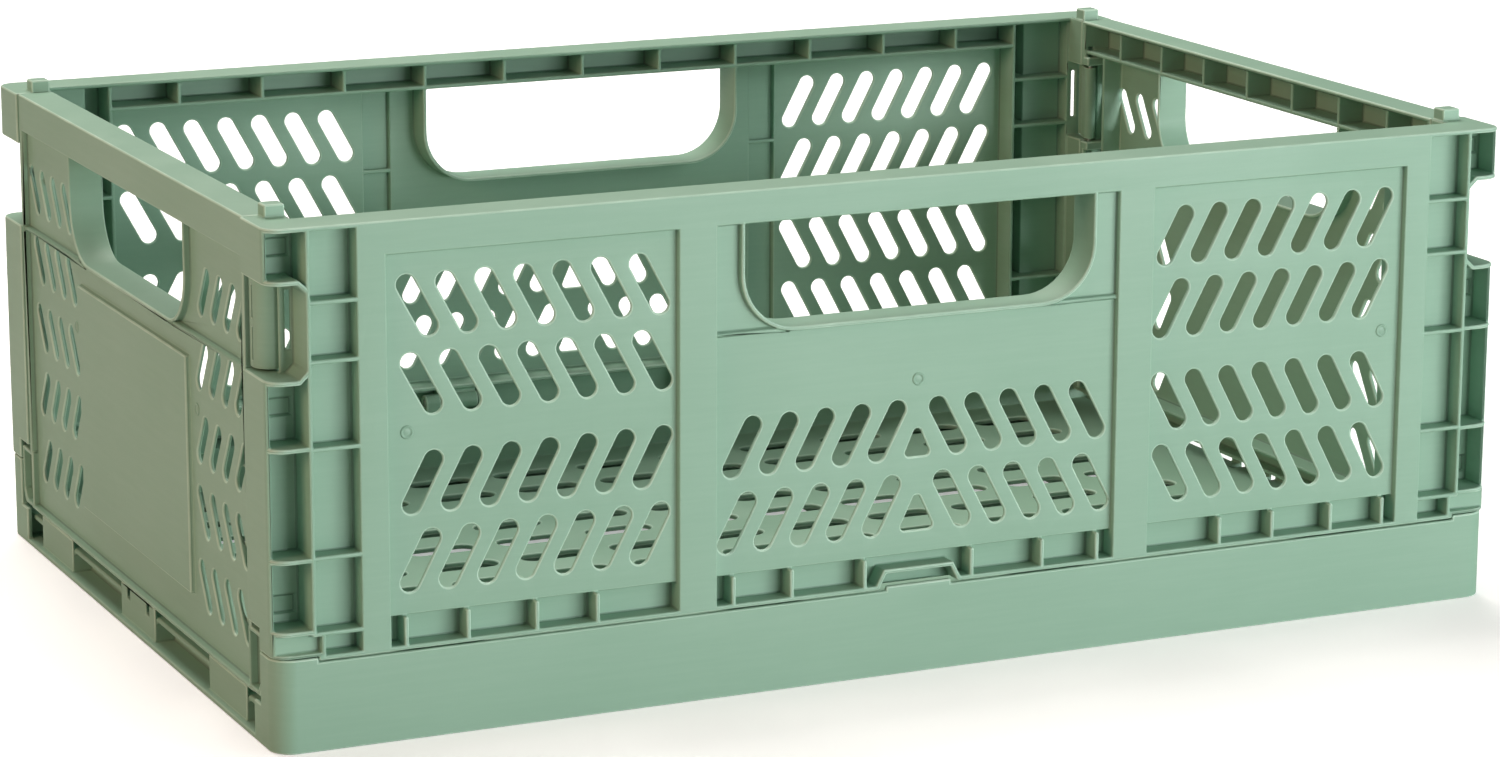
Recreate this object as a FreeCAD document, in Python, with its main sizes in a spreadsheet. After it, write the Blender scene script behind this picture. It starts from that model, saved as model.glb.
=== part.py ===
import FreeCAD, Part
import math
import os
import re

# Collapsible storage crate: a base tray, two long walls and two end walls that fold
# down on hinge pins, and a pivoting latch at each corner that ties an end wall to a
# long wall's corner post. Millimetres. Origin: centre of the footprint, on the ground.
# +X runs along the long side, +Y from the front long wall to the back one, +Z up.

doc = FreeCAD.newDocument("collapsible_crate")

DIMENSIONS = (
    ("length", 600, "outside length of the base and the rim"),
    ("width", 400, "outside width"),
    ("rim_height", 224, "ground to the top rim"),
    ("ply", 2, "usual thickness of a moulded wall or rib"),
    ("gap", 0.3, "least clearance between two mouldings"),
    ("corner_round", 10, "plan radius of the base tray's corners"),
    ("post_round", 8, "plan radius of the corner posts"),
    # base tray
    ("base_ply", 2.5, "thickness of the tray's outer skin"),
    ("tray_rim", 39, "top of the tray's long rim"),
    ("tray_corner", 41, "top of the tray's corner blocks"),
    ("corner_block", 19.5, "size of a corner block in plan"),
    ("lip_reach", 28, "how far the low corner lip wraps on to the end"),
    ("lip_top", 18, "top of the low lip on the end"),
    ("shelf", 36, "top of the hinge shelf inside the long rim"),
    ("side_box", 19.5, "depth of the long rim's box section"),
    ("floor_top", 14, "top of the floor"),
    ("floor_ply", 2.6, "floor thickness"),
    ("end_box", 14, "depth of the end rim's box section"),
    ("dock_half", 25.5, "half width of the three blocks in an end rim"),
    ("dock_pitch", 129, "spacing of those blocks"),
    ("dock_face", 2.5, "set-back of the blocks from the end"),
    # long walls
    ("wall_low", 39.7, "underside of a long wall"),
    ("post_low", 41.5, "underside of a corner post over the tray's corner"),
    ("sill", 54, "top of the open channel along the wall's foot"),
    ("channel", 9, "depth of that channel"),
    ("skin", 3, "set-back of the panels behind the wall's face"),
    ("depth", 19, "outer face to the inner edge of the ribs"),
    ("flange", 21, "depth of the top flange"),
    ("rail_low", 209.5, "underside of the top rail"),
    ("post_deep", 33, "depth of a corner post"),
    ("post_wide", 18, "width of a corner post"),
    ("post_foot", 51, "underside of the post's inner part, over the end wall's foot"),
    ("stile_in", 248, "centre of the wall to the smooth end stile"),
    ("stile_out", 261, "outer edge of that stile"),
    ("cell_out", 281, "outer edge of the shallow cell column"),
    ("cell_deep", 8.5, "depth of the shallow cells"),
    ("key_in", 23, "end of the wall to the inner side of the post foot's key"),
    ("foot_deep", 3.7, "depth of the shallow cell in the post's foot"),
    ("end_set", 5, "set-back of the post's end plate, where its rounded corner starts"),
    ("pocket_deep", 17, "depth of the pockets in the corner post"),
    ("mullion_in", 98, "centre of the wall to the inner edge of a mullion"),
    ("mullion_out", 116, "outer edge of a mullion"),
    ("notch_low", 160, "bottom of the latch notch"),
    ("notch_top", 200, "top of the latch notch"),
    ("nub_tall", 5.6, "height of a stacking nub above the rim"),
    ("nub_near", 8, "end of the wall to the near side of a nub"),
    ("nub_far", 17, "end of the wall to the far side of a nub"),
    ("nub_behind", 24.5, "wall's face to the front of a nub"),
    ("nub_room", 0.5, "clearance round a nub in the socket under another crate"),
    ("hinge_in", 17.7, "long-wall hinge axis behind the wall's face"),
    ("hinge_up", 47.7, "long-wall hinge axis above the ground"),
    ("knuckle", 4.2, "outer radius of a hinge knuckle"),
    ("knuckle_half", 10, "half length of a wall knuckle"),
    ("lug_wide", 8, "width of a tray lug"),
    ("pin", 2, "radius of the wall hinge pins"),
    ("running", 0.05, "radial clearance of a pin in its bore"),
    # handles
    ("handle_half", 85, "half width of a hand hole"),
    ("handle_low", 162.5, "bottom of a long wall's hand hole"),
    ("handle_round", 25, "lower corner radius of a hand hole"),
    ("collar", 1.8, "thickness of the collar round a hand hole"),
    ("mullion_rib", 166, "underside of the rib across a mullion's hollow"),
    # end walls
    ("end_half", 166.7, "half width of an end wall between the posts"),
    ("end_face", 1, "set-back of an end wall's rail behind the posts"),
    ("end_skin", 4.4, "set-back of its panel"),
    ("end_depth", 18, "outer plane to the inner edge of its ribs"),
    ("end_low", 19.5, "underside of an end wall"),
    ("end_rail", 206.5, "underside of its top rail"),
    ("end_handle", 160, "bottom of its hand hole"),
    ("edge_ply", 3.2, "thickness of its edge plates"),
    ("foot_in", 163, "centre of the end wall to a foot's inner side"),
    ("foot_out", 180.2, "centre of the end wall to a foot's outer side"),
    ("foot_low", 20, "underside of a foot"),
    ("foot_top", 48, "top of a foot"),
    ("pivot_in", 9, "end-wall hinge axis behind the outer plane"),
    ("pivot_up", 24, "end-wall hinge axis above the ground"),
    ("relief", 13, "depth left at the foot of the end wall so that it can turn"),
    ("plate_half", 81, "half width of an end wall's plain label plate"),
    ("plate_low", 40, "bottom of the label plate"),
    ("plate_top", 147, "top of the label plate"),
    ("plate_face", 2.2, "set-back of the label plate"),
    ("inner_stile", 144, "centre of the end wall to its inner stile"),
    ("inner_belt", 30, "underside of its inner belt"),
    # latches
    ("latch_axis_in", 14, "latch pivot behind the end plane"),
    ("latch_axis_side", 164, "latch pivot from the centre of the end wall"),
    ("latch_low", 161, "underside of a latch"),
    ("latch_top", 199, "top of a latch"),
    ("latch_pin", 1.25, "radius of a latch pivot pin"),
    ("latch_barrel", 3, "radius of a latch's pivot barrel"),
)

sheet = doc.addObject("Spreadsheet::Sheet", "dims")
for row, (alias, value, note) in enumerate(DIMENSIONS, start=1):
    sheet.set(f"A{row}", alias)
    sheet.set(f"B{row}", str(value))
    sheet.set(f"C{row}", note)
    sheet.setAlias(f"B{row}", alias)
doc.recompute()

size = {alias: float(sheet.get(alias)) for alias, _, _ in DIMENSIONS}
WORD = re.compile(r"\b[a-z][a-z_]+\b")


def bound(formula):
    """The formula with each dimension's name pointed at its cell."""
    return WORD.sub(lambda word: "dims." + word.group(0), formula)


def bind(item, prop, formula):
    item.setExpression(prop, bound(formula))


def block(name, across, deep, high):
    """A box between the low and high formulas given for X, Y and Z."""
    box = doc.addObject("Part::Box", name)
    for prop, axis, (low, top) in zip(("Length", "Width", "Height"), "xyz", (across, deep, high)):
        bind(box, prop, f"({top}) - ({low})")
        bind(box, f"Placement.Base.{axis}", low)
    return box


def both_sides(name, across, deep, high):
    """The same box on the +X side and mirrored on the -X side."""
    low, top = across
    return [block(name + "_plus", across, deep, high),
            block(name + "_minus", (f"-({top})", f"-({low})"), deep, high)]


def rod(name, radius, length, base, direction):
    """A cylinder along +X, +Y or +Z with its start at the base formulas."""
    cylinder = doc.addObject("Part::Cylinder", name)
    turn = {"x": (FreeCAD.Vector(0, 1, 0), 90), "y": (FreeCAD.Vector(1, 0, 0), -90),
            "z": (FreeCAD.Vector(0, 0, 1), 0)}[direction]
    cylinder.Placement = FreeCAD.Placement(FreeCAD.Vector(), FreeCAD.Rotation(*turn))
    bind(cylinder, "Radius", radius)
    bind(cylinder, "Height", length)
    for axis, formula in zip("xyz", base):
        bind(cylinder, f"Placement.Base.{axis}", formula)
    return cylinder


def fuse(name, parts):
    joined = doc.addObject("Part::MultiFuse", name)
    joined.Shapes = parts
    joined.Refine = True
    return joined


def cut(name, base, tool):
    result = doc.addObject("Part::Cut", name)
    result.Base = base
    result.Tool = tool
    result.Refine = True
    return result


def corner(before, point, after, radius):
    """Tangent points and middle of the arc that rounds one corner of an outline."""
    arms = []
    for other in (before, after):
        arm = (other - point)
        arm.normalize()
        arms.append(arm)
    half_angle = arms[0].getAngle(arms[1]) / 2
    reach = radius / math.tan(half_angle)
    inward = arms[0] + arms[1]
    inward.normalize()
    middle = point + inward * (radius / math.sin(half_angle) - radius)
    return point + arms[0] * reach, middle, point + arms[1] * reach


def outline(points):
    """Lines and arcs of a closed outline; each point is (across, up, corner radius)."""
    flat = [FreeCAD.Vector(across, up, 0) for across, up, _ in points]
    turns = []
    for index, (_, _, radius) in enumerate(points):
        point = flat[index]
        if radius:
            turns.append(corner(flat[index - 1], point, flat[(index + 1) % len(flat)], radius))
        else:
            turns.append((point, None, point))
    edges = []
    for index, (_, _, leave) in enumerate(turns):
        enter, middle, after = turns[(index + 1) % len(turns)]
        edges.append(Part.LineSegment(leave, enter))
        if middle is not None:
            edges.append(Part.Arc(enter, middle, after))
    return edges


def slot_outline(across, up, lean, span, rise, width):
    """A round-ended slot whose end centres lie span apart across and rise apart up."""
    half = FreeCAD.Vector(lean * span / 2, rise / 2, 0)
    centre = FreeCAD.Vector(across, up, 0)
    along = FreeCAD.Vector(half)
    along.normalize()
    side = FreeCAD.Vector(-along.y, along.x, 0) * (width / 2)
    tip = along * (width / 2)
    low, top = centre - half, centre + half
    return [Part.LineSegment(low - side, top - side), Part.Arc(top - side, top + tip, top + side),
            Part.LineSegment(top + side, low + side), Part.Arc(low + side, low - tip, low - side)]


def prism(name, outlines, start, length, plane="wall"):
    """Outlines drawn across and up the wall, carried along +Y; or in plan, carried up +Z."""
    sketch = doc.addObject("Sketcher::SketchObject", name + "_sketch")
    if plane == "wall":
        sketch.Placement = FreeCAD.Placement(FreeCAD.Vector(), FreeCAD.Rotation(FreeCAD.Vector(1, 0, 0), 90))
    bind(sketch, "Placement.Base." + ("y" if plane == "wall" else "z"), start)
    for edges in outlines:
        sketch.addGeometry(edges, False)
    carried = doc.addObject("Part::Extrusion", name)
    carried.Base = sketch
    carried.DirMode = "Custom"
    carried.Dir = FreeCAD.Vector(0, 1, 0) if plane == "wall" else FreeCAD.Vector(0, 0, 1)
    carried.Solid = True
    bind(carried, "LengthFwd", length)
    return carried


def mirrored(name, source, normal):
    """A left, right, front or back twin of a finished sub-part."""
    twin = doc.addObject("Part::Mirroring", name)
    twin.Source = source
    twin.Normal = FreeCAD.Vector(*normal)
    return twin


finished = []


def finish(item, name):
    item.Label = name
    finished.append(item)
    return item


# Hand hole: a U-shaped collar across the wall's depth, open to the top rail.
def hand_hole(name, low, rail, start, length):
    half, rounding, lip = size["handle_half"], size["handle_round"], size["collar"]
    outer = outline([(-half - lip, low - lip, rounding + lip), (half + lip, low - lip, rounding + lip),
                     (half + lip, rail, 0), (-half - lip, rail, 0)])
    inner = outline([(-half, low, rounding), (half, low, rounding), (half, rail, 0), (-half, rail, 0)])
    return (prism(name + "_collar", [outer], start, length),
            prism(name + "_hole", [inner], "-1", "flange + 4"))


# ------------------------------------------------------------------ long wall
SLOT_SPAN = 9.8
SLOT_RISE = 18.3
SLOT_WIDTH = 8.4
SLOT_PITCH = 17.5
LATTICE_CENTRE = 181.0
LATTICE_ROWS = ((186.65, 0.0, -1), (153.25, 1.4, -1), (110.75, 1.4, 1), (77.0, 0.0, 1))
MIDDLE_ROWS = ((110.75, 14.9, 7.0, 98.0, 111.5), (77.0, 17.4, 9.0, 64.5, 81.0))
CELL_SHELVES = (191.0, 166.0, 129.0, 82.5, 50.0)
PANEL_RIB_PITCH = 42.8
CHANNEL_RIBS = (241.2, 213.3, 182.0, 154.0, 90.0, 62.0, 26.5)
HINGE_STATIONS = (-220.0, -70.0, 70.0, 220.0)
POST_SHELVES = (129.5, 82.0)
POCKET_RECESSES = (209.5, 142.0, 57.2)
KEYWAY_LOW = 170.0
KEYWAY_TOP = 195.0
LIP_RUN = 3.8
LIP_DROP = 3.6
ARCH_FOOT = 19.5
ARCH_TOP = 16.0
ARCH_RISE = 7.0


def wall_lattice():
    """Slanted slots: seven columns in each side panel, five pairs and a keystone in the middle."""
    slots = []
    for up, shift, lean in LATTICE_ROWS:
        for column in range(-3, 4):
            across = LATTICE_CENTRE - shift - column * SLOT_PITCH
            slots.append(slot_outline(across, up, -lean, SLOT_SPAN, SLOT_RISE, SLOT_WIDTH))
            slots.append(slot_outline(-across, up, lean, SLOT_SPAN, SLOT_RISE, SLOT_WIDTH))
    for up, first, half, low, top in MIDDLE_ROWS:
        for column in range(5):
            across = first + column * SLOT_PITCH
            slots.append(slot_outline(across, up, -1, SLOT_SPAN, SLOT_RISE, SLOT_WIDTH))
            slots.append(slot_outline(-across, up, 1, SLOT_SPAN, SLOT_RISE, SLOT_WIDTH))
        slots.append(outline([(-half, low, 2), (half, low, 2), (0, top + 2, 2)]))
    return prism("wall_lattice", slots, "skin - 1", "ply + 2")


def long_wall():
    half = "length / 2"
    top = ("rim_height - ply", "rim_height")
    whole = ("-length / 2", "length / 2")
    between_corners = ("-length / 2 + corner_block + gap", "length / 2 - corner_block - gap")
    parts = [
        block("wall_top", whole, ("0", "flange"), top),
        block("wall_rail", ("-stile_out", "stile_out"), ("0", "ply"), ("rail_low", "rim_height")),
        block("wall_rail_floor", ("-stile_in", "stile_in"), ("0", "depth"), ("rail_low", "rail_low + ply")),
        block("wall_skin", ("-stile_in", "stile_in"), ("skin", "skin + ply"), ("sill", "rail_low")),
        block("wall_sill", ("-stile_in", "stile_in"), ("skin", "depth"), ("sill", "sill + ply")),
        block("wall_channel", between_corners, ("channel", "channel + ply"), ("wall_low", "sill")),
        block("wall_foot", between_corners, ("0", "channel + ply"), ("wall_low", "wall_low + ply")),
        block("wall_belt", ("-mullion_in", "mullion_in"), ("1.5", "skin"),
              ("handle_low - collar", "handle_low")),
    ]
    parts += both_sides("wall_post_top", (f"{half} - post_wide", half), ("0", "post_deep"), top)
    # smooth stile with its riser, and the hollow mullions
    parts += both_sides("stile_face", ("stile_in", "stile_out"), ("0", "ply"), ("wall_low", "rim_height"))
    parts += both_sides("stile_riser", ("stile_in", "stile_in + ply"), ("0", "depth"), ("sill", "rim_height"))
    parts += both_sides("stile_foot", ("stile_in", "stile_in + ply"), ("0", "channel + ply"),
                        ("wall_low", "sill"))
    parts += both_sides("stile_side", ("stile_out - ply", "stile_out"), ("0", "cell_deep + ply"),
                        ("wall_low", "rim_height"))
    parts += both_sides("mullion_face", ("mullion_in", "mullion_out"), ("0", "ply"), ("wall_low", "rail_low"))
    for name, low, top in (("in", "mullion_in", "mullion_in + ply"),
                           ("out", "mullion_out - ply", "mullion_out")):
        parts += both_sides(f"mullion_side_{name}", (low, top), ("0", "skin + ply"), ("sill", "rail_low"))
        parts += both_sides(f"mullion_foot_{name}", (low, top), ("0", "channel + ply"), ("wall_low", "sill"))
    # shallow cells between the stile and the post, and the ladder behind them
    parts += both_sides("cell_back", ("stile_out", "cell_out"), ("cell_deep", "cell_deep + ply"),
                        ("post_low", "rim_height"))
    parts += both_sides("cell_side", ("cell_out", "cell_out + ply"), ("0", "depth"),
                        ("post_foot - 1", "rim_height"))
    for index, shelf in enumerate(CELL_SHELVES):
        parts += both_sides(f"cell_shelf_{index}", ("stile_in", "cell_out"), ("0", "depth"),
                            (f"{shelf}", f"{shelf} + ply"))
    # corner post: end plate, pocket back, inner plates and shelves
    post = (f"{half} - post_wide + 1", half)
    parts += both_sides("post_end", (f"{half} - ply", half), ("end_set", "post_deep"),
                        ("post_foot", "rim_height"))
    parts += both_sides("post_end_low", (f"{half} - ply", half), ("foot_deep", "corner_block"),
                        ("post_low", "post_foot"))
    parts += both_sides("post_back", post, ("pocket_deep", "pocket_deep + ply"), ("post_low", "rim_height"))
    parts += both_sides("post_seam", post, ("post_deep - ply", "post_deep"), ("post_foot", "rim_height"))
    parts += both_sides("post_inner", (f"{half} - post_wide", f"{half} - post_wide + ply"),
                        ("pocket_deep", "post_deep"), ("post_foot", "rim_height"))
    for index, shelf in enumerate(POST_SHELVES):
        parts += both_sides(f"post_shelf_{index}", post, ("0", "post_deep"), (f"{shelf}", f"{shelf} + ply"))
    parts += both_sides("post_shelf_foot", post, ("0", "post_deep"), ("post_foot", "post_foot + ply"))
    foot = (f"{half} - key_in + ply", half)
    parts += both_sides("post_sole", foot, ("0", "corner_block"), ("post_low", "post_low + ply - 0.5"))
    parts += both_sides("post_key", (f"{half} - key_in", f"{half} - key_in + ply"), ("0", "channel + ply"),
                        ("wall_low", "post_foot + 1"))
    parts += both_sides("post_foot_back", foot, ("foot_deep", "foot_deep + ply"), ("post_low", "post_foot + 1"))
    parts += both_sides("post_notch_roof", post, ("pocket_deep", "post_deep"), ("notch_top", "notch_top + ply"))
    parts += both_sides("post_notch_sill", post, ("pocket_deep", "post_deep"), ("notch_low - ply", "notch_low"))
    parts += both_sides("nub", (f"{half} - nub_far", f"{half} - nub_near"), ("nub_behind", "post_deep"),
                        ("rim_height", "rim_height + nub_tall"))
    # notch lips, bent in to meet the post's inner rib
    post_face = size["length"] / 2
    rib = post_face - size["post_wide"] + 1
    lips = []
    for side in (-1, 1):
        for lip, sign in ((size["notch_top"], 1), (size["notch_low"], -1)):
            points = [(post_face, 0), (rib + LIP_RUN, 0), (rib, -LIP_DROP),
                      (rib, -LIP_DROP + 1.4 * size["ply"]), (rib + LIP_RUN - 0.8, size["ply"]),
                      (post_face, size["ply"])]
            lips.append(outline([(side * across, lip + sign * up, 0) for across, up in points]))
    parts.append(prism("notch_lips", lips, "0", "pocket_deep + ply"))
    # ribs of the top rail and of the foot channel
    for index in range(-5, 6):
        middle = index * PANEL_RIB_PITCH
        parts.append(block(f"rail_rib_{index + 5}", (f"{middle} - ply / 2", f"{middle} + ply / 2"),
                           ("0", "depth"), ("rail_low", "rim_height")))
    for index, across in enumerate(CHANNEL_RIBS):
        parts += both_sides(f"channel_rib_{index}", (f"{across} - ply / 2", f"{across} + ply / 2"),
                            ("0", "channel + 1"), ("wall_low", "sill"))
    collar, hole = hand_hole("wall_hand", size["handle_low"], size["rail_low"], "0", "depth")
    parts.append(collar)
    # arch over the tray's centre tab
    low = size["wall_low"]
    arch = outline([(-ARCH_FOOT, low, 0), (-ARCH_TOP, low + ARCH_RISE, 1), (ARCH_TOP, low + ARCH_RISE, 1),
                    (ARCH_FOOT, low, 0)])
    arch_lip = outline([(-ARCH_FOOT - 2.5, low, 0), (-ARCH_TOP - 1.2, low + ARCH_RISE + 2, 1),
                        (ARCH_TOP + 1.2, low + ARCH_RISE + 2, 1), (ARCH_FOOT + 2.5, low, 0)])
    parts.append(prism("arch_lip", [arch_lip], "0", "channel + ply"))
    # hinge knuckles on the inside of the foot channel
    for index, station in enumerate(HINGE_STATIONS):
        reach = (f"{station} - knuckle_half", f"{station} + knuckle_half")
        parts.append(rod(f"wall_knuckle_{index}", "knuckle", "2 * knuckle_half",
                         (reach[0], "hinge_in", "hinge_up"), "x"))
        parts.append(block(f"wall_knuckle_web_{index}", reach, ("channel", "hinge_in"),
                           ("hinge_up - knuckle", "sill + ply")))
    solid = fuse("wall_solid", parts)
    holes = [hole, wall_lattice(), prism("arch_hole", [arch], "-1", "channel + 1")]
    hollow = ("mullion_in + ply", "mullion_out - ply")
    holes += both_sides("mullion_hollow", hollow, ("ply", "depth"), ("wall_low + ply", "mullion_rib"))
    holes += both_sides("mullion_hollow_top", hollow, ("ply", "depth"), ("mullion_rib + ply", "rail_low"))
    holes += both_sides("stile_hollow", ("stile_in + ply", "stile_out - ply"), ("ply", "depth"),
                        ("wall_low + ply", "sill + ply"))
    # the latch notch is open outwards, round the corner and inwards
    holes += both_sides("notch_end", (f"{half} - 10.8", f"{half} + 1"), ("-1", "post_deep + 1"),
                        ("notch_low", "notch_top"))
    holes += both_sides("notch_inner", (f"{half} - post_wide - 1", f"{half}"),
                        ("pocket_deep + ply", "post_deep + 1"), ("notch_low", "notch_top"))
    holes += both_sides("notch_keyway", (f"{half} - 15.8", f"{half} - 13.6"), ("0", "depth"),
                        (f"{KEYWAY_LOW}", f"{KEYWAY_TOP}"))
    for index, low in enumerate(POCKET_RECESSES):
        holes += both_sides(f"pocket_recess_{index}", (f"{half} - 15.3", f"{half} - 3"),
                            ("pocket_deep - 1", "pocket_deep + 1.3"), (f"{low}", f"{low} + 7.7"))
    for index, station in enumerate(HINGE_STATIONS):
        holes.append(rod(f"wall_bore_{index}", "pin + running", "4 * knuckle_half",
                         (f"{station} - 2 * knuckle_half", "hinge_in", "hinge_up"), "x"))
    carved = cut("wall_carved", solid, fuse("wall_holes", holes))
    face = size["length"] / 2
    rounding = size["post_round"]
    plan = outline([(-face, 0, rounding), (face, 0, rounding), (face, 60, 0), (-face, 60, 0)])
    envelope = prism("wall_envelope", [plan], "wall_low - 1", "rim_height", "plan")
    wall = doc.addObject("Part::MultiCommon", "front_wall")
    wall.Shapes = [carved, envelope]
    bind(wall, "Placement.Base.y", "-width / 2")
    return wall


front_wall = finish(long_wall(), "front_wall")
back_wall = finish(mirrored("back_wall", front_wall, (0, 1, 0)), "back_wall")

# ------------------------------------------------------------------ end wall
END_SLOT_SPAN = 9.0
END_SLOT_RISE = 14.8
END_SLOT_WIDTH = 7.4
END_SLOT_FIRST = 97.5
END_LATTICE_ROWS = ((179.0, 5.0, 1), (145.5, 0.5, 1), (112.5, -1.0, 1), (80.0, -2.0, -1), (46.5, -2.0, -1))
END_RIB_PITCH = 42.5
END_SHELVES = (60.0, 94.0, 126.5)


def end_lattice():
    """Four columns and five rows of slots beside the label plate, on each side."""
    slots = []
    for up, shift, lean in END_LATTICE_ROWS:
        for column in range(4):
            across = END_SLOT_FIRST + shift + column * SLOT_PITCH
            slots.append(slot_outline(across, up, lean, END_SLOT_SPAN, END_SLOT_RISE, END_SLOT_WIDTH))
            slots.append(slot_outline(-across, up, -lean, END_SLOT_SPAN, END_SLOT_RISE, END_SLOT_WIDTH))
    return prism("end_lattice", slots, "end_skin - 1", "ply + 2")


def end_wall():
    inside = ("-end_half + edge_ply", "end_half - edge_ply")
    whole = ("-end_half", "end_half")
    edge = ("end_half - edge_ply", "end_half")
    parts = [
        block("end_top", whole, ("end_face", "end_depth"), ("rim_height - ply", "rim_height")),
        block("end_rail", whole, ("end_face", "end_face + ply"), ("end_rail", "rim_height")),
        block("end_rail_floor", whole, ("end_face", "end_depth - 1"), ("end_rail", "end_rail + ply")),
        block("end_skin", inside, ("end_skin", "end_skin + ply"), ("end_low", "end_rail")),
        block("end_belt", inside, ("1.5", "end_skin"), ("end_handle - collar", "end_handle")),
        block("end_sole", whole, ("end_face", "relief"), ("end_low", "end_low + ply")),
        block("end_plate", ("-plate_half", "plate_half"), ("plate_face", "end_skin"),
              ("plate_low", "plate_top")),
        block("end_inner_belt", inside, ("end_skin", "end_depth - 1"), ("inner_belt", "inner_belt + ply")),
    ]
    parts += both_sides("end_edge", edge, ("end_face", "end_depth"), ("end_low", "rim_height"))
    parts += both_sides("end_inner_stile", ("inner_stile", "inner_stile + ply"), ("end_skin", "end_depth - 1"),
                        ("inner_belt", "end_rail"))
    for index, shelf in enumerate(END_SHELVES):
        parts += both_sides(f"end_inner_shelf_{index}", ("inner_stile", "end_half"),
                            ("end_skin", "end_depth - 1"), (f"{shelf}", f"{shelf} + ply"))
    for index in range(-3, 4):
        middle = index * END_RIB_PITCH
        parts.append(block(f"end_rib_{index + 3}", (f"{middle} - ply / 2", f"{middle} + ply / 2"),
                           ("end_face", "end_depth - 1"), ("end_rail", "rim_height")))
    # feet that hang between the tray's corner blocks and carry the hinge pins
    parts += both_sides("end_foot", ("foot_in", "foot_out"), ("end_face", "end_depth - 1"),
                        ("foot_low", "foot_top"))
    # lugs above and below each latch
    lug = ("latch_axis_side - latch_barrel - 1.5", "end_half")
    parts += both_sides("latch_lug_top", lug, ("end_skin", "end_depth"), ("notch_top + 0.5", "notch_top + 5"))
    parts += both_sides("latch_lug_low", lug, ("end_skin", "end_depth"), ("notch_low - 5", "notch_low - 0.5"))
    collar, hole = hand_hole("end_hand", size["end_handle"], size["end_rail"], "end_face", "end_depth - 1.5")
    parts.append(collar)
    solid = fuse("end_solid", parts)
    holes = [hole, end_lattice(), block("end_relief", ("-width / 2", "width / 2"), ("relief", "end_depth + 1"),
                                        ("end_low - 1", "pivot_up"))]
    inner, outer = size["foot_in"] + 2, size["foot_out"] - 2
    pockets = []
    chamfers = []
    for side in (-1, 1):
        pocket = [(inner, 22), (outer - 4, 22), (outer, 27), (outer, 46), (inner, 46)]
        chamfer = [(outer - 2.5, 18), (outer + 3, 18), (outer + 3, 26.5)]
        pockets.append(outline([(side * across, up, 0) for across, up in pocket]))
        chamfers.append(outline([(side * across, up, 0) for across, up in chamfer]))
    holes.append(prism("foot_pockets", pockets, "end_face - 1", "5"))
    holes.append(prism("foot_chamfers", chamfers, "end_face - 1", "end_depth + 2"))
    # room for the latch to turn in the edge plate
    holes += both_sides("latch_room", ("latch_axis_side - latch_barrel - 1", "end_half + 1"),
                        ("latch_axis_in - latch_barrel - 1", "end_depth + 1"),
                        ("notch_low - 0.5", "notch_top + 0.5"))
    for sign, side in ((1, "plus"), (-1, "minus")):
        holes.append(rod(f"latch_bore_{side}", "latch_pin + running", "60",
                         (f"{sign} * latch_axis_side", "latch_axis_in", "150"), "z"))
        start = "foot_in + ply" if sign > 0 else "-foot_out - 1"
        holes.append(rod(f"foot_bore_{side}", "pin + running", "foot_out + 1 - foot_in - ply",
                         (start, "pivot_in", "pivot_up"), "x"))
    wall = cut("left_end_wall", solid, fuse("end_holes", holes))
    wall.Placement = FreeCAD.Placement(FreeCAD.Vector(), FreeCAD.Rotation(FreeCAD.Vector(0, 0, 1), -90))
    bind(wall, "Placement.Base.x", "-length / 2")
    return wall


left_end_wall = finish(end_wall(), "left_end_wall")
right_end_wall = finish(mirrored("right_end_wall", left_end_wall, (1, 0, 0)), "right_end_wall")


# ------------------------------------------------------------------ latches
def latch():
    """Plan outline: a tongue with one big round corner, and an arm back to its pivot barrel."""
    end = size["length"] / 2
    axis_x = -end + size["latch_axis_in"]
    axis_y = -size["latch_axis_side"]
    face = -end + 2.8
    nose = -size["width"] / 2 + 20.4
    heel = -size["width"] / 2 + 31.5
    plan = outline([(face, nose, 8), (-end + 12.4, nose, 0.8), (-end + 12.4, -size["width"] / 2 + 27, 0),
                    (-end + 15.5, -size["width"] / 2 + 29.5, 0), (axis_x + 2.6, axis_y, 0),
                    (axis_x - 2.6, axis_y, 0), (-end + 9.6, heel, 0.5), (face, heel, 0.8)])
    parts = [
        prism("latch_body", [plan], "latch_low", "latch_top - latch_low", "plan"),
        rod("latch_barrel", "latch_barrel", "latch_top - latch_low",
            ("-length / 2 + latch_axis_in", "-latch_axis_side", "latch_low"), "z"),
    ]
    # finger groove near the heel with a bead across its middle
    groove = ("-length / 2 + 2", "-length / 2 + 3.8")
    seam = ("-width / 2 + 27.6", "-width / 2 + 28.8")
    holes = [
        rod("latch_eye", "latch_pin + running", "60",
            ("-length / 2 + latch_axis_in", "-latch_axis_side", "150"), "z"),
        block("latch_groove_top", groove, seam, ("182", "196")),
        block("latch_groove_low", groove, seam, ("164", "178")),
    ]
    return cut("latch_front_left", fuse("latch_solid", parts), fuse("latch_holes", holes))


latch_front_left = finish(latch(), "latch_front_left")
latch_back_left = finish(mirrored("latch_back_left", latch_front_left, (0, 1, 0)), "latch_back_left")
latch_front_right = finish(mirrored("latch_front_right", latch_front_left, (1, 0, 0)), "latch_front_right")
latch_back_right = finish(mirrored("latch_back_right", latch_back_left, (1, 0, 0)), "latch_back_right")

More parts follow.
